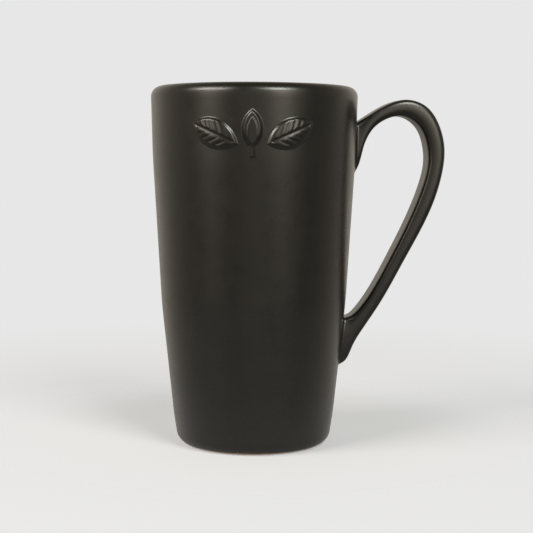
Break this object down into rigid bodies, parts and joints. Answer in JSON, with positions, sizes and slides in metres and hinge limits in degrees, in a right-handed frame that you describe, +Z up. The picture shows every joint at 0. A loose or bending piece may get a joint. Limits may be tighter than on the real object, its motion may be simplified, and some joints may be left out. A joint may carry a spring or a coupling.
{
  "type": "mug",
  "caption": "Tall tapered ceramic mug with a rounded lip, a looped strap handle, a ring foot and a small raised sprig of leaves near the rim.",
  "frame": {"origin": "on the table, at the centre of the ring that the mug stands on", "axes": "+Z up along the mug's axis, +X from the axis towards the handle, so the handle lies in the XZ plane"},
  "size_m": [0.1257, 0.0887, 0.152],
  "materials": {
    "clay": "bare fired stoneware, matte",
    "slip": "fired luting slip, matte",
    "outside_glaze": "satin charcoal glaze",
    "inside_glaze": "satin charcoal glaze"
  },
  "bodies": {
    "root": {"clay_body": "clay", "outer_glaze": "outside_glaze", "inner_glaze": "inside_glaze", "base_glaze": "outside_glaze", "handle": "clay", "handle_glaze": "outside_glaze", "upper_joint_slip": "slip", "lower_joint_slip": "slip", "relief_leaf_left": "outside_glaze", "relief_bud": "outside_glaze", "relief_leaf_right": "outside_glaze"}
  },
  "joints": []
}
